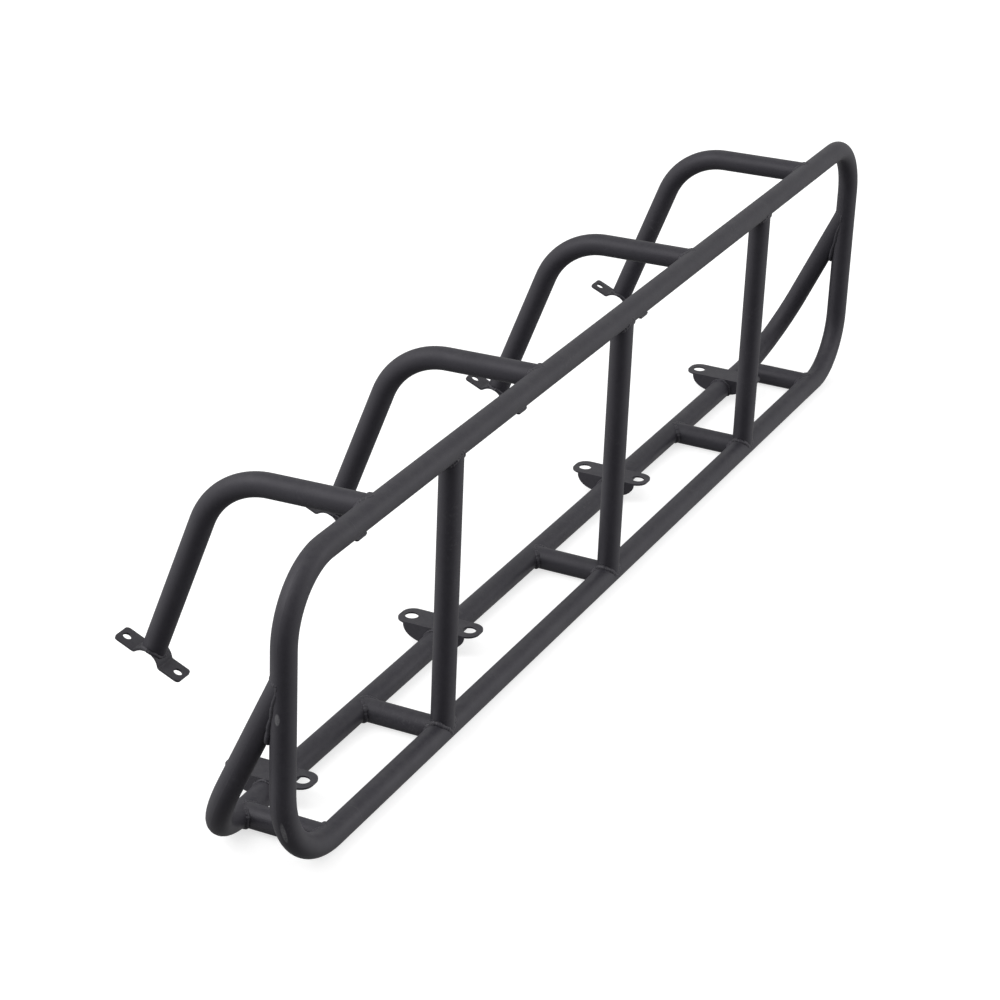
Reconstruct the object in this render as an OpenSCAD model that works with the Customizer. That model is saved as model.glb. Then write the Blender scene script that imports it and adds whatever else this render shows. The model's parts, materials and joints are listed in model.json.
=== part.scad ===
// Ladder rack: a welded round-tube side frame with a braced base, four bent
// arms that end in bolted bar saddles, and four two-hole base plates.
// X runs along the rails, +Y points from the side frame to the arms, +Z is up.
// The origin is under the middle of the rack, on the surface it stands on.

/* [Tube] */
// Outside diameter of every tube
tube_od = 40; // [36:0.1:42]
// Wall thickness of every tube
tube_wall = 2; // [1.6:0.1:3]
// Root gap left between a coped tube end and the tube it is welded to
weld_gap = 0.05; // [0.05:0.05:0.5]

/* [Side frame] */
// Overall length of the side frame
frame_length = 2408; // [2360:1:2600]
// Overall height of the side frame
frame_height = 539; // [520:1:620]
// Centreline bend radius of the two upper corners and the right foot
corner_r = 116; // [90:1:120]
// Centreline bend radius of the wider left foot
left_foot_r = 152; // [120:1:170]
// Straight tail of each end hoop beyond its bends, up to the butt weld
hoop_tail = 60; // [40:1:100]
// Distance between the centrelines of neighbouring uprights
upright_pitch = 661; // [600:1:700]

/* [Base] */
// Distance between the centrelines of the bottom rail and the inner rail
base_depth = 150; // [120:1:180]
// Centreline bend radius between the inner rail and its end braces
brace_bend_r = 150; // [120:1:160]
// Height at which the end braces meet the end hoops, above the bottom rail's centreline
brace_height = 334; // [300:1:340]
// Distance from an end hoop's centreline to the nearest cross stub
end_stub_inset = 140; // [125:1:180]

/* [Arms] */
// Distance of the two inner arms from the middle of the rack
inner_arm_x = 326; // [250:1:400]
// Distance of the two outer arms from the middle of the rack
outer_arm_x = 917; // [850:1:980]
// Horizontal distance from the top rail's centreline to the bend's corner point
arm_reach = 265; // [230:1:300]
// Downward slope of the upper part of each arm, in degrees
arm_droop = 1.5; // [0:0.5:5]
// Centreline bend radius of each arm
arm_bend_r = 130; // [100:1:140]
// Outward lean of each leg from the vertical, in degrees
leg_lean = 20; // [10:1:25]
// Distance down the leg from the bend's corner point to the clamped bar's axis
leg_drop = 373; // [330:0.5:380]

/* [Saddles] */
// Diameter of the round bar that the saddles clamp
bar_od = 50.8; // [48:0.1:52]
// Width of the saddle strap along the bar
saddle_w = 40; // [36:1:44]
// Thickness of the saddle strap
saddle_t = 4; // [3:0.5:5]
// Length of the saddle strap from ear tip to ear tip
saddle_span = 128; // [122:1:132]
// Height of the ears' lower faces above the bar's axis
ear_height = 10; // [9:0.5:11]
// Inside radius of the folds between arch and ears
saddle_fold_r = 3.5; // [3:0.5:5]
// Corner radius of the ears
ear_corner_r = 7; // [4:1:10]
// Distance between the two bolt holes of a saddle
saddle_bolt_pitch = 101; // [96:1:104]
// Diameter of the saddle bolt holes
saddle_hole_d = 15; // [11:0.5:15.5]
// Extra outward tilt of the ears about the bar, in degrees
saddle_tilt = 3; // [0:0.5:5]

/* [Base plates] */
// Distance of the two inner base plates from the middle of the rack
inner_plate_x = 364; // [300:1:450]
// Distance of the two outer base plates from the middle of the rack
outer_plate_x = 946; // [900:1:950]
// Offset of the base plates' centres from the inner rail's centreline, towards the arms
plate_offset = 4.5; // [0:0.5:6]
// Width of a base plate along the rack
plate_w = 56; // [50:1:64]
// Length of a base plate across the rack
plate_span = 153; // [145:1:160]
// Thickness of a base plate and of its web
plate_t = 3.2; // [2.5:0.1:5]
// Corner radius of a base plate
plate_corner_r = 22; // [15:1:24]
// Distance between the two bolt holes of a base plate
plate_bolt_pitch = 111; // [105:1:115]
// Diameter of the base plate bolt holes
plate_hole_d = 24; // [18:0.5:26]
// Clearance between the inner rail and the plate above it
plate_gap = 0.4; // [0.3:0.1:1]
// Width of the bowl-shaped web where it leaves the plate
web_span = 117; // [100:1:120]
// Depth of the web below the plate's top face
web_depth = 34; // [28:1:38]
// Roundness of the bowl: 1 gives half an ellipse, and less gives squarer shoulders
web_roundness = 0.87; // [0.7:0.01:1]

/* [Hidden] */

$fn = 96;
coat = [0.17, 0.17, 0.18];
over = 1;

tube_r = tube_od / 2;
bore_r = tube_r - tube_wall;
cope_r = tube_r + weld_gap;
bar_r = bar_od / 2;

// Centreline distances of the side frame
half_length = frame_length / 2 - tube_r;
rail_height = frame_height - tube_od;
end_stub_x = half_length - end_stub_inset;

// The clamped bar's axis, measured from the bottom rail's centreline
bar_y = arm_reach + leg_drop * sin(leg_lean);
bar_z = rail_height - arm_reach * tan(arm_droop) - leg_drop * cos(leg_lean);
ear_angle = leg_lean + saddle_tilt;

// The bottom rail's centreline lies this far from the middle of the rack's depth
back_reach = bar_y + saddle_span / 2 * cos(ear_angle) - ear_height * sin(ear_angle);
frame_y = -(back_reach - tube_r) / 2;

// Fold centre of a saddle, and the angle at which the arch leaves it
fold_z = ear_height + saddle_t + saddle_fold_r;
fold_reach = bar_r + saddle_t + saddle_fold_r;
fold_angle = asin(fold_z / fold_reach);
fold_y = fold_reach * cos(fold_angle);

// Underside of the base plates, measured from the inner rail's centreline
plate_z = tube_r + plate_gap;

// Points of an arc about a centre in twelve steps, from the first step to the last
arc_steps = 12;
function arc(centre, r, from, to, first = 0, last = arc_steps) = [
    for (i = [first : last])
        let (angle = from + (to - from) * i / arc_steps)
            centre + r * [cos(angle), sin(angle)]
];

// Cross sections swept along the centrelines
module ring() {
    difference() {
        circle(r = tube_r);
        circle(r = bore_r);
    }
}

module cope_disc() {
    circle(r = cope_r);
}

// Straight sweeps of a cross section along each axis
module along_x(from, to) {
    translate([from, 0, 0])
        rotate([0, 90, 0])
            linear_extrude(to - from)
                children();
}

module along_y(length) {
    rotate([-90, 0, 0])
        linear_extrude(length)
            children();
}

// Bent sweep of a cross section about the Z axis
module bend(bend_r, from, sweep) {
    rotate_extrude(start = from, angle = sweep)
        translate([bend_r, 0])
            children();
}

// Turns a shape drawn in the XY plane into the XZ plane
module upright_plane() {
    rotate([90, 0, 0])
        children();
}

// Turns a shape drawn in the XY plane into the YZ plane
module cross_plane() {
    rotate([90, 0, 90])
        children();
}

// Moves a shape drawn about the bottom rail's centreline into the rack's frame
module place() {
    color(coat)
        translate([0, frame_y, tube_r])
            children();
}

// Solid rod along X that copes a tube end against a rail
module rail_cope(x, y, z) {
    translate([x, y, z])
        along_x(-tube_od, tube_od)
            cope_disc();
}

// ---- Side frame ----

module bottom_rail() {
    place()
        along_x(-half_length + left_foot_r + hoop_tail, half_length - corner_r - hoop_tail)
            ring();
}

module top_rail() {
    run = half_length - corner_r - hoop_tail;
    place()
        translate([0, 0, rail_height])
            along_x(-run, run)
                ring();
}

// Sweep of an end hoop: its vertical stands at x = 0 and its tails point to +X
module foot_sweep(foot_r) {
    translate([foot_r, 0, foot_r])
        upright_plane()
            bend(foot_r, 180, 90)
                children();
    translate([foot_r, 0, 0])
        along_x(0, hoop_tail)
            children();
}

module hoop_sweep(foot_r) {
    foot_sweep(foot_r)
        children();
    translate([0, 0, foot_r])
        linear_extrude(rail_height - foot_r - corner_r)
            children();
    translate([corner_r, 0, rail_height - corner_r])
        upright_plane()
            bend(corner_r, 90, 90)
                children();
    translate([corner_r, 0, rail_height])
        along_x(0, hoop_tail)
            children();
}

module left_end_hoop() {
    place()
        translate([-half_length, 0, 0])
            hoop_sweep(left_foot_r)
                ring();
}

module right_end_hoop() {
    place()
        mirror([1, 0, 0])
            translate([-half_length, 0, 0])
                hoop_sweep(corner_r)
                    ring();
}

module upright(x) {
    place()
        difference() {
            translate([x, 0, 0])
                linear_extrude(rail_height)
                    ring();
            rail_cope(x, 0, 0);
            rail_cope(x, 0, rail_height);
        }
}

// ---- Base ----

// The inner rail turns up at both ends into braces that lean back to the hoops
module inner_rail() {
    brace_angle = atan2(base_depth, brace_height);
    brace_length = norm([base_depth, brace_height]);
    place()
        difference() {
            translate([0, base_depth, 0])
                rotate([brace_angle, 0, 0]) {
                    run = half_length - brace_bend_r;
                    along_x(-run, run)
                        ring();
                    for (side = [0, 1])
                        mirror([side, 0, 0]) {
                            translate([run, 0, brace_bend_r])
                                upright_plane()
                                    bend(brace_bend_r, 270, 90)
                                        ring();
                            translate([half_length, 0, brace_bend_r])
                                linear_extrude(brace_length - brace_bend_r)
                                    ring();
                        }
                }
            for (side = [-1, 1])
                translate([side * half_length, 0, brace_height - 2 * tube_od])
                    cylinder(h = 4 * tube_od, r = cope_r);
        }
}

// Stub between the bottom rail and the inner rail
module cross_stub(x) {
    place()
        difference() {
            translate([x, 0, 0])
                along_y(base_depth)
                    ring();
            rail_cope(x, 0, 0);
            rail_cope(x, base_depth, 0);
        }
}

// The first stub meets the wide bend of the left foot
module left_end_stub() {
    place()
        difference() {
            translate([-end_stub_x, 0, 0])
                along_y(base_depth)
                    ring();
            translate([-half_length, 0, 0])
                foot_sweep(left_foot_r)
                    cope_disc();
            rail_cope(-end_stub_x, base_depth, 0);
        }
}

// ---- Arms and saddles ----

// Sweep of an arm, built about the centre of its bend with the leg's end of the bend at zero degrees
module arm_sweep(turn) {
    tangent = arm_bend_r * tan(turn / 2);
    block = arm_bend_r + tube_od;
    translate([arm_bend_r, 0, 0])
        upright_plane()
            linear_extrude(leg_drop - tangent)
                children();
    difference() {
        bend(arm_bend_r, 0, 90)
            children();
        rotate(turn)
            translate([0, 0, -tube_od])
                cube([block, block, 2 * tube_od]);
    }
    rotate(turn)
        translate([arm_bend_r, 0, 0])
            along_y(arm_reach / cos(arm_droop) - tangent)
                children();
}

module arm(x) {
    turn = 90 - leg_lean - arm_droop;
    mid_angle = leg_lean + turn / 2;
    corner = [arm_reach, rail_height - arm_reach * tan(arm_droop)];
    centre = corner - arm_bend_r / cos(turn / 2) * [cos(mid_angle), sin(mid_angle)];
    place()
        difference() {
            translate([x, centre.x, centre.y])
                cross_plane()
                    rotate(leg_lean)
                        arm_sweep(turn)
                            ring();
            rail_cope(x, 0, rail_height);
            translate([x, bar_y, bar_z])
                along_x(-saddle_w, saddle_w)
                    circle(r = bar_r + saddle_t + weld_gap);
        }
}

// Section of a saddle strap across the bar: arch, folds and ears, with the bar's room left solid
module strap_section() {
    fold = [fold_y, fold_z];
    tip = saddle_span / 2 + over;
    inner = (bar_r - over) * [cos(fold_angle), sin(fold_angle)];
    half = concat(
        arc([0, 0], bar_r + saddle_t, 90, fold_angle),
        arc(fold, saddle_fold_r, 180 + fold_angle, 270, 1),
        [[tip, ear_height + saddle_t], [tip, ear_height]],
        arc(fold, saddle_fold_r + saddle_t, 270, 180 + fold_angle, 0, arc_steps - 1),
        [inner]
    );
    polygon(concat(half, [for (i = [len(half) - 1 : -1 : 1]) [-half[i].x, half[i].y]]));
}

// Rectangle with rounded corners, centred on the origin
module rounded_outline(width, length, r) {
    x = width / 2 - r;
    y = length / 2 - r;
    polygon(concat(
        arc([x, y], r, 0, 90),
        arc([-x, y], r, 90, 180),
        arc([-x, -y], r, 180, 270),
        arc([x, -y], r, 270, 360)
    ));
}

module saddle(x) {
    reach = saddle_w / 2 + over;
    place()
        translate([x, bar_y, bar_z])
            rotate([ear_angle, 0, 0])
                difference() {
                    intersection() {
                        translate([-reach, 0, 0])
                            cross_plane()
                                linear_extrude(2 * reach)
                                    strap_section();
                        linear_extrude(bar_od)
                            rounded_outline(saddle_w, saddle_span, ear_corner_r);
                    }
                    along_x(-reach, reach)
                        circle(r = bar_r);
                    for (side = [-1, 1])
                        translate([0, side * saddle_bolt_pitch / 2, 0])
                            cylinder(h = bar_od, r = saddle_hole_d / 2);
                }
}

// ---- Base plates ----

// Bowl-shaped web outline in the XY plane, with its straight edge on top
module web_outline() {
    top = plate_z + plate_t / 2;
    drop = web_depth - plate_t / 2;
    side = web_span / 2;
    steps = 24;
    polygon([
        for (i = [0 : steps])
            let (a = 180 * i / steps, reach = pow(abs(cos(a)), web_roundness))
                [side * sign(cos(a)) * reach, top - drop * pow(sin(a), web_roundness)]
    ]);
}

// Two-hole plate above the inner rail, with a web folded down on its left edge
module base_plate(x) {
    edge = -plate_w / 2;
    place()
        translate([x, base_depth, 0])
            difference() {
                union() {
                    translate([0, plate_offset, plate_z])
                        linear_extrude(plate_t)
                            rounded_outline(plate_w, plate_span, plate_corner_r);
                    translate([edge, plate_offset, 0])
                        cross_plane()
                            linear_extrude(plate_t)
                                web_outline();
                }
                along_x(edge - over, edge + plate_t + over)
                    cope_disc();
                for (side = [-1, 1])
                    translate([0, plate_offset + side * plate_bolt_pitch / 2, plate_z - over])
                        cylinder(h = plate_t + 2 * over, r = plate_hole_d / 2);
            }
}

bottom_rail();
top_rail();
left_end_hoop();
right_end_hoop();
upright(-upright_pitch);  // left_upright
upright(0);  // middle_upright
upright(upright_pitch);  // right_upright
inner_rail();
left_end_stub();  // cross_stub_1
cross_stub(-upright_pitch);  // cross_stub_2
cross_stub(0);  // cross_stub_3
cross_stub(upright_pitch);  // cross_stub_4
cross_stub(end_stub_x);  // cross_stub_5
arm(-outer_arm_x);  // arm_1
arm(-inner_arm_x);  // arm_2
arm(inner_arm_x);  // arm_3
arm(outer_arm_x);  // arm_4
saddle(-outer_arm_x);  // saddle_1
saddle(-inner_arm_x);  // saddle_2
saddle(inner_arm_x);  // saddle_3
saddle(outer_arm_x);  // saddle_4
base_plate(-outer_plate_x);  // base_plate_1
base_plate(-inner_plate_x);  // base_plate_2
base_plate(inner_plate_x);  // base_plate_3
base_plate(outer_plate_x);  // base_plate_4
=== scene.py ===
import json
import math

import bmesh
import bpy
from mathutils import Euler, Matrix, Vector


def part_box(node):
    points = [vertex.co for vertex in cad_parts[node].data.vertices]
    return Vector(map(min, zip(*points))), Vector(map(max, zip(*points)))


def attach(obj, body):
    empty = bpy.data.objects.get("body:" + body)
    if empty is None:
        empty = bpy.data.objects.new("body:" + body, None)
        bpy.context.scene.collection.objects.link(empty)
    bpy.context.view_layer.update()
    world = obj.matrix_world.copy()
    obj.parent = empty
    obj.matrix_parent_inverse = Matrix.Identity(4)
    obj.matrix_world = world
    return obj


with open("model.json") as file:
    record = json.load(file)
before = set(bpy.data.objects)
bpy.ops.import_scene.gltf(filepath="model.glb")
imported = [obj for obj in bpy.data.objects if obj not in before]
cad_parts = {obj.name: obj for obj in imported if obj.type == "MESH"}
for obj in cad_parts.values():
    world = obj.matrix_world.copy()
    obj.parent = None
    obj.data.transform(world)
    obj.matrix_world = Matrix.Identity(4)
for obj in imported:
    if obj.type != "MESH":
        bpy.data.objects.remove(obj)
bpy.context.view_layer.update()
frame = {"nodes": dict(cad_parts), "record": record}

nodes = frame["nodes"]
mounts = {mount["name"]: mount for mount in frame["record"]["mounts"]}

# ---------------------------------------------------------------- measures, in metres

# Radius of the bar that the saddles clamp, and the thickness of their strap
BAR_R = 0.0254
STRAP_T = 0.004
# Thickness of the base plates and their webs
PLATE_T = 0.0032
# Height of the braces' joints above the bottom rail's axis
BRACE_RISE = 0.334
# Lean of the arms' legs off upright, and droop of the arms below level
LEG_LEAN = math.radians(20)
ARM_DROOP = math.radians(1.5)
# Bend radii of the left end hoop's foot and of the braces, on the tube's axis
FOOT_BEND_R = 0.152
BRACE_BEND_R = 0.150
# Saddles and plates: size of the small rounds on their edges, and gap under which loose corners are joined
EDGE_ROUND = 0.0009
MERGE_GAP = 0.00002
# Weld beads: radius of the usual bead and of the finer ones
BEAD_R = 0.0054
BRACE_BEAD_R = 0.0042
SADDLE_BEAD_R = 0.0036
WEB_BEAD_R = 0.0030
# Weld beads: height of the centre over the meeting line, ripple length, and the rings' spacing and corners
BEAD_PROUD = 0.0004
BEAD_PITCH = 0.0042
BEAD_STEP = 0.0006
BEAD_SIDES = 14
# Weld beads: sideways wander, rise in a narrow crotch, and share of the radius sunk in a flush surface
BEAD_WANDER = 0.0006
CROTCH_RISE = 0.009
FLUSH_SINK = 0.93
# Weld beads: how far two surfaces' normals are opposed where a crotch begins, and over what range it closes
CROTCH_START = 0.3
CROTCH_RANGE = 0.6


def middle(node):
    """Centre of a node's box."""
    low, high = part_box(node)
    return (Vector(low) + Vector(high)) / 2


# Centres of the two straight rails, radius of all tubes, place of the inner rail's axis in Y, and half the
# distance between the end hoops' axes
BOTTOM = middle("bottom_rail")
TOP = middle("top_rail")
TUBE_R = (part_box("top_rail")[1][2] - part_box("top_rail")[0][2]) / 2
INNER_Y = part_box("inner_rail")[1][1] - TUBE_R
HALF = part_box("right_end_hoop")[1][0] - TUBE_R
X_AXIS = Vector((1, 0, 0))
Y_AXIS = Vector((0, 1, 0))
Z_AXIS = Vector((0, 0, 1))

# ---------------------------------------------------------------- materials


class Nodes:
    """Short helper for building a node material."""

    def __init__(self, name):
        self.material = bpy.data.materials.new(name)
        self.material.use_nodes = True
        self.tree = self.material.node_tree
        self.shader = self.tree.nodes["Principled BSDF"]
        self.place = self.add("ShaderNodeTexCoord").outputs["Object"]

    def add(self, kind, **values):
        node = self.tree.nodes.new(kind)
        for key, value in values.items():
            setattr(node, key, value)
        return node

    def link(self, source, target):
        self.tree.links.new(source, target)

    def noise(self, scale, detail=3.0, roughness=0.5):
        node = self.add("ShaderNodeTexNoise")
        node.inputs["Scale"].default_value = scale
        node.inputs["Detail"].default_value = detail
        node.inputs["Roughness"].default_value = roughness
        self.link(self.place, node.inputs["Vector"])
        return node.outputs["Fac"]

    def span(self, source, low, high, to_low=0.0, to_high=1.0):
        """Value that goes from to_low to to_high while the source goes from low to high."""
        node = self.add("ShaderNodeMapRange")
        node.inputs["From Min"].default_value = low
        node.inputs["From Max"].default_value = high
        node.inputs["To Min"].default_value = to_low
        node.inputs["To Max"].default_value = to_high
        self.link(source, node.inputs["Value"])
        return node.outputs["Result"]

    def math(self, operation, a, b):
        node = self.add("ShaderNodeMath", operation=operation)
        for socket, value in zip(node.inputs, (a, b)):
            if isinstance(value, (int, float)):
                socket.default_value = value
            else:
                self.link(value, socket)
        return node.outputs["Value"]

    def blend(self, factor, a, b):
        node = self.add("ShaderNodeMix", data_type="RGBA")
        self.link(factor, node.inputs["Factor"])
        for socket, value in ((node.inputs["A"], a), (node.inputs["B"], b)):
            if isinstance(value, tuple):
                socket.default_value = (*value, 1.0)
            else:
                self.link(value, socket)
        return node.outputs["Result"]

    def bump(self, height, strength, distance, normal=None):
        node = self.add("ShaderNodeBump")
        node.inputs["Strength"].default_value = strength
        node.inputs["Distance"].default_value = distance
        self.link(height, node.inputs["Height"])
        if normal is not None:
            self.link(normal, node.inputs["Normal"])
        return node.outputs["Normal"]


# Linear colours of handling marks, painted highlight patches, paler patches on what faces up, and worn
# edges that also carry a painted edge highlight
SCUFF_TONE = (0.075, 0.073, 0.08)
HIGHLIGHT_PATCH_TONE = (0.130, 0.130, 0.137)
UPWARD_PALE_TONE = (0.06, 0.06, 0.06)
EDGE_WEAR_AND_HIGHLIGHT_TONE = (0.10, 0.098, 0.105)
# Reach of the pale edges (worn coat with a painted edge highlight), and depths of the orange peel and of
# the fine grain, in metres
PALE_EDGE_R = 0.0012
PEEL_DEPTH = 0.0004
GRAIN_DEPTH = 0.00025


def painted_highlight_patch(m, centre, half_sizes, tilt):
    """Mask of a small rounded patch of painted highlight, tilted about Y, in the rack's frame."""
    patch = m.add("ShaderNodeMapping", vector_type="TEXTURE")
    patch.inputs["Location"].default_value = centre
    patch.inputs["Rotation"].default_value = (0, tilt, 0)
    patch.inputs["Scale"].default_value = half_sizes
    m.link(m.place, patch.inputs["Vector"])
    distance = m.add("ShaderNodeVectorMath", operation="LENGTH")
    m.link(patch.outputs["Vector"], distance.inputs[0])
    return m.span(distance.outputs["Value"], 1.0, 0.75)


def powder_coat(name, dark, light, rough, peel, grain, highlight_patches=()):
    """Powder coat: mottled charcoal with orange peel, fine grain, scuffs, patches of painted highlight,
    paler patches on what faces up, and worn edges with a painted edge highlight.
    """
    m = Nodes(name)
    cloud = m.span(m.noise(9, 4, 0.55), 0.35, 0.65)
    mottle = m.span(m.noise(110, 4, 0.65), 0.32, 0.68)
    speckle = m.span(m.noise(900, 2, 0.6), 0.35, 0.7)
    mixed = m.math("ADD", m.math("MULTIPLY", cloud, 0.45), m.math("MULTIPLY", mottle, 0.55))
    colour = m.blend(mixed, dark, light)
    pale = tuple(1.5 * c for c in light)
    colour = m.blend(m.math("MULTIPLY", speckle, 0.4), colour, pale)
    # Faint handling marks, in sparse places
    handled = m.span(m.noise(7, 3, 0.6), 0.56, 0.66)
    broken = m.span(m.noise(170, 5, 0.75), 0.52, 0.7)
    scuff = m.math("MULTIPLY", handled, broken)
    colour = m.blend(m.math("MULTIPLY", scuff, 0.5), colour, SCUFF_TONE)
    # Patches of painted highlight, where the coat is painted pale
    for centre, half_sizes, tilt in highlight_patches:
        patch = painted_highlight_patch(m, centre, half_sizes, tilt)
        uneven = m.span(m.noise(300, 3), 0.35, 0.6, 0.45, 0.9)
        colour = m.blend(m.math("MULTIPLY", patch, uneven), colour, HIGHLIGHT_PATCH_TONE)
    # Paler in patches on what faces up
    normal = m.add("ShaderNodeNewGeometry").outputs["Normal"]
    parts = m.add("ShaderNodeSeparateXYZ")
    m.link(normal, parts.inputs["Vector"])
    upward = m.span(parts.outputs["Z"], 0.3, 1.0)
    upward_pale = m.math("MULTIPLY", upward, m.span(m.noise(55, 5, 0.7), 0.42, 0.72, 0.0, 0.3))
    colour = m.blend(upward_pale, colour, UPWARD_PALE_TONE)
    # The coat is thinner and a little polished along sharp edges; the pale edge colour is also a painted
    # edge highlight
    soft = m.add("ShaderNodeBevel", samples=6)
    soft.inputs["Radius"].default_value = PALE_EDGE_R
    facing = m.add("ShaderNodeVectorMath", operation="DOT_PRODUCT")
    m.link(soft.outputs["Normal"], facing.inputs[0])
    m.link(normal, facing.inputs[1])
    edge = m.span(facing.outputs["Value"], 0.97, 0.8)
    edge = m.math("MULTIPLY", edge, m.span(m.noise(160, 4, 0.6), 0.35, 0.6))
    colour = m.blend(m.math("MULTIPLY", edge, 0.5), colour, EDGE_WEAR_AND_HIGHLIGHT_TONE)
    m.link(colour, m.shader.inputs["Base Color"])
    # Gloss varies slowly over the coat, a little with the mottle, and is higher on worn edges
    shine = m.span(m.noise(14, 4, 0.6), 0.3, 0.7, rough - 0.06, rough + 0.05)
    shine = m.math("ADD", shine, m.math("MULTIPLY", mottle, 0.06))
    shine = m.math("SUBTRACT", shine, m.math("MULTIPLY", edge, 0.08))
    m.link(shine, m.shader.inputs["Roughness"])
    m.shader.inputs["Specular IOR Level"].default_value = 0.42
    m.shader.inputs["Specular Tint"].default_value = (0.97, 0.94, 1.0, 1.0)
    # The fine texture scatters a little light at grazing angles
    m.shader.inputs["Sheen Weight"].default_value = 0.035
    m.shader.inputs["Sheen Roughness"].default_value = 0.35
    ripple = m.bump(m.noise(260, 2, 0.5), peel, PEEL_DEPTH)
    surface = m.bump(m.noise(1500, 2, 0.6), grain, GRAIN_DEPTH, ripple)
    m.link(surface, m.shader.inputs["Normal"])
    return m.material


# Two painted highlights on the outside of the left end hoop, as (centre, half sizes, tilt about Y)
BEND_TURN = math.radians(22.7)
BEND_REACH = FOOT_BEND_R + TUBE_R
BELOW_BRACE = (-HALF - TUBE_R, BOTTOM.y - 0.001, BOTTOM.z + BRACE_RISE - 0.053)
ON_FOOT_BEND = (
    FOOT_BEND_R - HALF - BEND_REACH * math.cos(BEND_TURN),
    BOTTOM.y - 0.006,
    BOTTOM.z + FOOT_BEND_R - BEND_REACH * math.sin(BEND_TURN),
)
PAINTED_HIGHLIGHTS = [
    (BELOW_BRACE, (0.006, 0.0045, 0.0105), 0.0),
    (ON_FOOT_BEND, (0.006, 0.0042, 0.027), -BEND_TURN),
]

TUBE_COAT = powder_coat(
    "powder_coat_tube",
    dark=(0.0150, 0.0142, 0.0190),
    light=(0.0250, 0.0240, 0.0300),
    rough=0.50,
    peel=0.18,
    grain=0.34,
    highlight_patches=PAINTED_HIGHLIGHTS,
)
PLATE_COAT = powder_coat(
    "powder_coat_plate",
    dark=(0.0125, 0.0119, 0.0152),
    light=(0.0270, 0.0260, 0.0320),
    rough=0.49,
    peel=0.22,
    grain=0.36,
)
# The beads' coat is a paler copy of the tube's coat: painted highlight for the bright ridges of the beads
WELD_COAT = powder_coat(
    "powder_coat_weld",
    dark=(0.0170, 0.0162, 0.0208),
    light=(0.0300, 0.0288, 0.0350),
    rough=0.42,
    peel=0.24,
    grain=0.25,
)

# ---------------------------------------------------------------- tubes, saddles and plates

for name, piece in nodes.items():
    sheet_metal = name.startswith(("saddle", "base_plate"))
    piece.data.materials.clear()
    piece.data.materials.append(PLATE_COAT if sheet_metal else TUBE_COAT)
    if sheet_metal:
        joined = piece.modifiers.new("joined", "WELD")
        joined.merge_threshold = MERGE_GAP
        rounded = piece.modifiers.new("rounded", "BEVEL")
        rounded.width = EDGE_ROUND
        rounded.segments = 3
        rounded.limit_method = "ANGLE"
        rounded.angle_limit = math.radians(40)
        rounded.harden_normals = True

# ---------------------------------------------------------------- weld beads


def across(direction):
    """Two unit vectors square to a direction and to each other."""
    helper = X_AXIS if abs(direction.x) < 0.9 else Z_AXIS
    first = direction.cross(helper).normalized()
    return first, direction.cross(first)


def meeting_line(start, direction, r, axis_point, axis, other_r):
    """Closed line where a tube leaves a cylinder: (point, tube's normal, cylinder's normal) all round."""
    first, second = across(direction)
    slope = direction - axis * direction.dot(axis)
    count = 720
    line = []
    for i in range(count):
        turn = 2 * math.pi * i / count
        outward = first * math.cos(turn) + second * math.sin(turn)
        reach = start + outward * r - axis_point
        reach = reach - axis * reach.dot(axis)
        half_b = reach.dot(slope)
        inside = half_b ** 2 - slope.length_squared * (reach.length_squared - other_r ** 2)
        along = (-half_b + math.sqrt(max(inside, 0.0))) / slope.length_squared
        point = start + outward * r + direction * along
        radial = point - axis_point
        radial = (radial - axis * radial.dot(axis)).normalized()
        line.append((point, outward, radial))
    return line


def even(line, step):
    """The same closed line with its points an even step apart."""
    length = 0.0
    marks = [0.0]
    count = len(line)
    for i in range(count):
        length += (line[(i + 1) % count][0] - line[i][0]).length
        marks.append(length)
    number = max(24, round(length / step))
    out = []
    j = 0
    for k in range(number):
        want = length * k / number
        while marks[j + 1] < want:
            j += 1
        part = (want - marks[j]) / max(marks[j + 1] - marks[j], 1e-9)
        a = line[j]
        b = line[(j + 1) % count]
        out.append(tuple(p.lerp(q, part) for p, q in zip(a, b)))
    return out


def smooth(line, width):
    """The same closed line with each value averaged over its neighbours."""
    count = len(line)
    out = []
    for i in range(count):
        near = [line[(i + d) % count] for d in range(-width, width + 1)]
        out.append(tuple(sum((n[k] for n in near), Vector()) / len(near) for k in range(3)))
    return out


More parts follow.
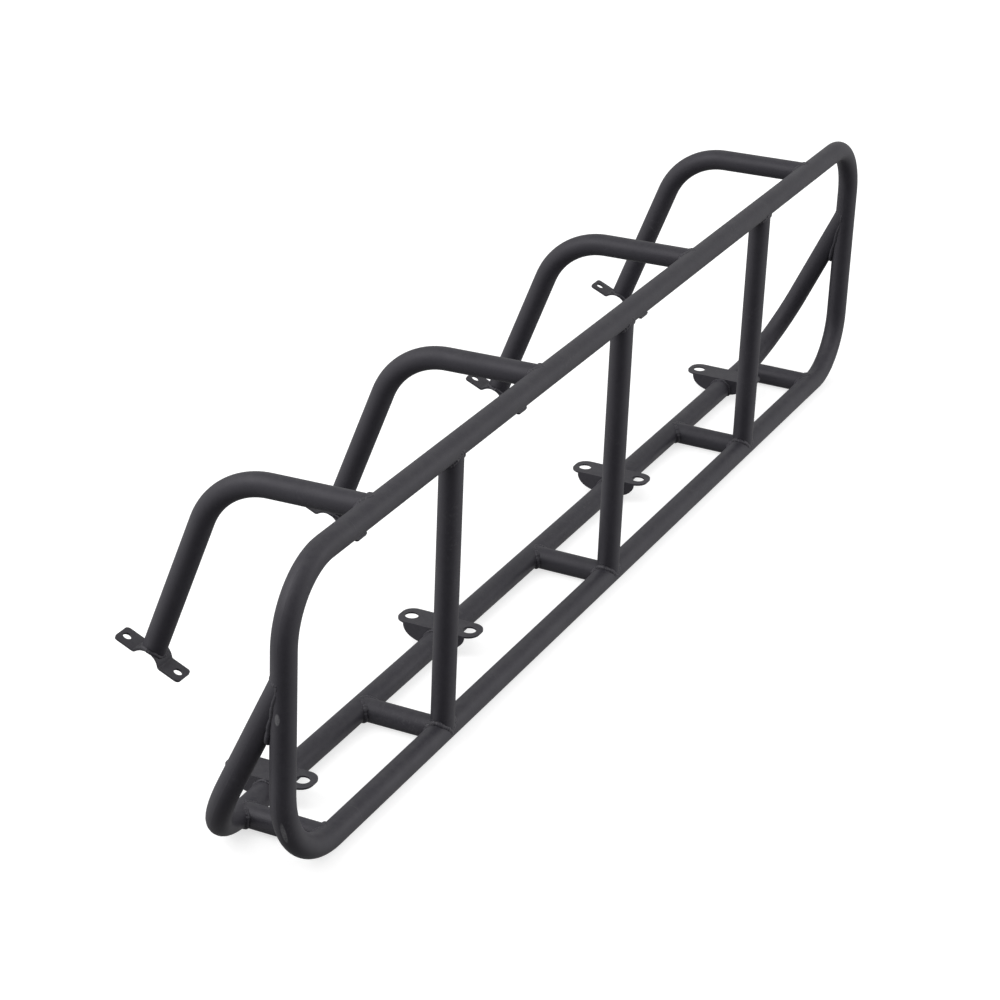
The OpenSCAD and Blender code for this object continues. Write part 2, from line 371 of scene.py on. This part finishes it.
def bead(name, line, r=BEAD_R, phase=0.0):
    """A rippled weld bead laid along a closed meeting line."""
    line = smooth(even(line, BEAD_STEP), 4)
    count = len(line)
    ripples = max(1, round(count * BEAD_STEP / BEAD_PITCH))
    mesh = bmesh.new()
    rings = []
    for i in range(count):
        point, tube_normal, rail_normal = line[i]
        tangent = (line[(i + 1) % count][0] - line[i - 1][0]).normalized()
        up = tube_normal + rail_normal
        up = (up - tangent * up.dot(tangent)).normalized()
        side = tangent.cross(up)
        # Sunk where the two surfaces run on into each other, raised where they close to a narrow crotch
        alike = tube_normal.normalized().dot(rail_normal.normalized())
        sunk = FLUSH_SINK * r * max(-CROTCH_START, alike)
        crotch = max(0.0, -alike - CROTCH_START) / CROTCH_RANGE
        lift = BEAD_PROUD - sunk + CROTCH_RISE * crotch
        # Slow changes of thickness and course, as a hand-laid bead has
        turned = 2 * math.pi * i / count
        drift = 1 + 0.07 * math.sin(5 * turned + phase)
        drift += 0.06 * math.sin(11 * turned + 2 * phase)
        drift += 0.04 * math.sin(23 * turned + 3 * phase)
        wander = BEAD_WANDER * math.sin(7 * turned + phase)
        centre = point + up * lift + side * wander
        ring = []
        for k in range(BEAD_SIDES):
            turn = 2 * math.pi * k / BEAD_SIDES
            lag = 0.9 * math.cos(turn)
            wave = abs(math.sin(math.pi * ripples * i / count + lag))
            size = r * drift * (0.93 + 0.11 * wave)
            offset = (up * math.cos(turn) + side * math.sin(turn)) * size
            ring.append(mesh.verts.new(centre + offset))
        rings.append(ring)
    for i in range(count):
        near = rings[i]
        far = rings[(i + 1) % count]
        for k in range(BEAD_SIDES):
            after = (k + 1) % BEAD_SIDES
            mesh.faces.new((near[k], near[after], far[after], far[k]))
    bmesh.ops.recalc_face_normals(mesh, faces=mesh.faces)
    for face in mesh.faces:
        face.smooth = True
    data = bpy.data.meshes.new(name)
    mesh.to_mesh(data)
    mesh.free()
    piece = bpy.data.objects.new(name, data)
    bpy.context.scene.collection.objects.link(piece)
    data.materials.append(WELD_COAT)
    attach(piece, "root")


def at(x, y, z):
    return Vector((x, y, z))


# Uprights on the bottom and top rails
for i, name in enumerate(("left_upright", "middle_upright", "right_upright")):
    x = middle(name).x
    foot = at(x, BOTTOM.y, BOTTOM.z)
    head = at(x, TOP.y, TOP.z)
    bead("weld_" + name + "_foot", meeting_line(foot, Z_AXIS, TUBE_R, foot, X_AXIS, TUBE_R), phase=i)
    bead("weld_" + name + "_head", meeting_line(head, -Z_AXIS, TUBE_R, head, X_AXIS, TUBE_R), phase=i + 3)

# Cross stubs between the bottom rail and the inner rail
brace_turn = math.atan2(INNER_Y - BOTTOM.y, BRACE_RISE)
for i in range(1, 6):
    x = middle("cross_stub_%d" % i).x
    # The first stub stands where the foot's bend has begun to rise, on the left
    near_axis = X_AXIS
    past_rail = -x - (HALF - FOOT_BEND_R)
    if past_rail > 0:
        slope = -math.asin(past_rail / FOOT_BEND_R)
        near_axis = at(math.cos(slope), 0, math.sin(slope))
    # Both end stubs stand where the inner rail has begun to turn up into its braces
    far_axis = X_AXIS
    past_rail = abs(x) - (HALF - BRACE_BEND_R)
    if past_rail > 0:
        slope = math.asin(past_rail / BRACE_BEND_R)
        rise = math.copysign(math.sin(slope), x)
        far_axis = at(math.cos(slope), -rise * math.sin(brace_turn), rise * math.cos(brace_turn))
    near = at(x, BOTTOM.y, BOTTOM.z)
    far = at(x, INNER_Y, BOTTOM.z)
    bead("weld_stub_%d_outer" % i, meeting_line(near, Y_AXIS, TUBE_R, near, near_axis, TUBE_R), phase=i)
    bead("weld_stub_%d_inner" % i, meeting_line(far, -Y_AXIS, TUBE_R, far, far_axis, TUBE_R), phase=i + 2)

# Braces on the end hoops
lean = at(0, math.sin(brace_turn), -math.cos(brace_turn))
for i, side in enumerate((-1, 1)):
    joint = at(side * HALF, BOTTOM.y, BOTTOM.z + BRACE_RISE)
    line = meeting_line(joint, lean, TUBE_R, joint, Z_AXIS, TUBE_R)
    bead("weld_brace_%d" % (i + 1), line, BRACE_BEAD_R, phase=i)

# Arms on the top rail, and saddles on the arms' feet
reach = at(0, math.cos(ARM_DROOP), -math.sin(ARM_DROOP))
leg = at(0, -math.sin(LEG_LEAN), math.cos(LEG_LEAN))
for i in range(1, 5):
    x = middle("arm_%d" % i).x
    joint = at(x, TOP.y, TOP.z)
    bead("weld_arm_%d" % i, meeting_line(joint, reach, TUBE_R, joint, X_AXIS, TUBE_R), phase=i)
    bar = Vector(mounts["saddle_%d_clamp" % i]["pos_m"])
    line = meeting_line(bar, leg, TUBE_R, bar, X_AXIS, BAR_R + STRAP_T)
    bead("weld_foot_%d" % i, line, SADDLE_BEAD_R, phase=i + 1)


def ring_line(centre, r, facing, lowest):
    """Closed line round a tube along X at a web's face. Below the web's edge it sinks into the tube."""
    count = 360
    depth = 0.006
    fade = 0.003
    line = []
    for i in range(count):
        turn = 2 * math.pi * i / count
        radial = at(0, math.cos(turn), math.sin(turn))
        bare = min(1.0, max(0.0, (lowest - r * radial.z) / fade))
        line.append((centre + radial * (r - depth * bare), radial, facing))
    return line


# Webs of the base plates on the inner rail
for i in range(1, 5):
    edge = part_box("base_plate_%d" % i)[0][0]
    web_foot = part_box("base_plate_%d" % i)[0][2] - BOTTOM.z + 0.001
    for label, x, facing in (("left", edge, -X_AXIS), ("right", edge + PLATE_T, X_AXIS)):
        line = ring_line(at(x, INNER_Y, BOTTOM.z), TUBE_R, facing, web_foot)
        bead("weld_web_%d_%s" % (i, label), line, WEB_BEAD_R, phase=i)

# ---------------------------------------------------------------- stage, light and camera

# Stage: sizes in metres, and strengths of its own pale glow
FLOOR_SIZE = 60
BACKDROP_R = 28
FLOOR_GLOW = 0.68
BACKDROP_GLOW = 0.97
WHITE = (1, 1, 1, 1)
BLACK = (0, 0, 0, 1)
# Where the lamps aim: the lower middle of the rack
AIM = (0, 0, 0.2)
# Directions of the studio's lights: overhead, left of the camera's view, and far behind on the right
UP = (0, 0, 1)
LEFT = (-0.435, 0.899, 0.05)
RIGHT = tuple(-c for c in LEFT)
BEHIND = (0.93, 0.3, -0.2)
# Camera: place in metres, turn in degrees, lens and sensor in millimetres
CAMERA_PLACE = (-4.3954, -2.0256, 2.3464)
CAMERA_TURN = (65.241, -2.199, -64.178)
LENS = 105.4
SENSOR = 36

bpy.ops.mesh.primitive_plane_add(size=FLOOR_SIZE, location=(0, 0, 0))
floor = bpy.context.active_object
floor.name = "floor"
stage = Nodes("pale_floor")
mottle = stage.span(stage.noise(0.8, 3), 0.3, 0.7)
grey = stage.blend(mottle, (0.5, 0.5, 0.5), (0.54, 0.54, 0.54))
stage.link(grey, stage.shader.inputs["Base Color"])
stage.shader.inputs["Roughness"].default_value = 0.9
stage.shader.inputs["Specular IOR Level"].default_value = 0.1
stage.shader.inputs["Emission Color"].default_value = WHITE
stage.shader.inputs["Emission Strength"].default_value = FLOOR_GLOW
floor.data.materials.append(stage.material)

bpy.ops.mesh.primitive_uv_sphere_add(segments=48, ring_count=24, radius=BACKDROP_R, location=(0, 0, 0))
dome = bpy.context.active_object
dome.name = "backdrop"
sky = Nodes("pale_backdrop")
sky.shader.inputs["Base Color"].default_value = BLACK
sky.shader.inputs["Emission Color"].default_value = WHITE
sky.shader.inputs["Emission Strength"].default_value = BACKDROP_GLOW
dome.data.materials.append(sky.material)

# The stage is a background only: the light on the object comes from the studio round it
for prop in (floor, dome):
    prop.visible_diffuse = False
    prop.visible_glossy = False
dome.visible_shadow = False

world = bpy.data.worlds.new("studio")
bpy.context.scene.world = world
world.use_nodes = True
tree = world.node_tree
around = tree.nodes.new("ShaderNodeTexCoord").outputs["Generated"]


def glow(direction, start, end, strength):
    """Light that comes from one side of the studio, fading in between two cosines."""
    cosine = tree.nodes.new("ShaderNodeVectorMath")
    cosine.operation = "DOT_PRODUCT"
    tree.links.new(around, cosine.inputs[0])
    cosine.inputs[1].default_value = direction
    fade = tree.nodes.new("ShaderNodeMapRange")
    fade.interpolation_type = "SMOOTHSTEP"
    fade.inputs["From Min"].default_value = start
    fade.inputs["From Max"].default_value = end
    fade.inputs["To Max"].default_value = strength
    tree.links.new(cosine.outputs["Value"], fade.inputs["Value"])
    return fade.outputs["Result"]


def added(a, b):
    """Sum of two strengths."""
    node = tree.nodes.new("ShaderNodeMath")
    tree.links.new(a, node.inputs[0])
    tree.links.new(b, node.inputs[1])
    return node.outputs["Value"]


above = glow(UP, start=-0.1, end=0.9, strength=0.66)
left_side = glow(LEFT, start=0.3, end=1.0, strength=0.9)
right_side = glow(RIGHT, start=0.45, end=1.0, strength=0.7)
behind = glow(BEHIND, start=0.6, end=1.0, strength=0.3)
# No cosine is low enough to fade this light, so it is the same from everywhere
base = glow(UP, start=-3.0, end=-2.0, strength=0.16)
sides = added(added(left_side, right_side), behind)
background = tree.nodes["Background"]
tree.links.new(added(added(above, base), sides), background.inputs["Strength"])
background.inputs["Color"].default_value = WHITE


def softbox(name, place, size, power):
    """A rectangular lamp that aims at the rack."""
    data = bpy.data.lights.new(name, "AREA")
    data.shape = "RECTANGLE"
    data.size = size[0]
    data.size_y = size[1]
    data.energy = power
    lamp = bpy.data.objects.new(name, data)
    lamp.location = place
    lamp.rotation_euler = (Vector(AIM) - Vector(place)).to_track_quat("-Z", "Y").to_euler()
    bpy.context.scene.collection.objects.link(lamp)


softbox("key", place=(-3.0, 2.4, 4.0), size=(4, 4), power=100)
softbox("fill", place=(2.0, -4.5, 2.0), size=(3, 3), power=50)

lens = bpy.data.cameras.new("camera")
lens.sensor_width = SENSOR
lens.lens = LENS
camera = bpy.data.objects.new("camera", lens)
camera.location = CAMERA_PLACE
camera.rotation_euler = Euler([math.radians(a) for a in CAMERA_TURN])
bpy.context.scene.collection.objects.link(camera)
bpy.context.scene.camera = camera
bpy.context.scene.view_settings.view_transform = "Standard"
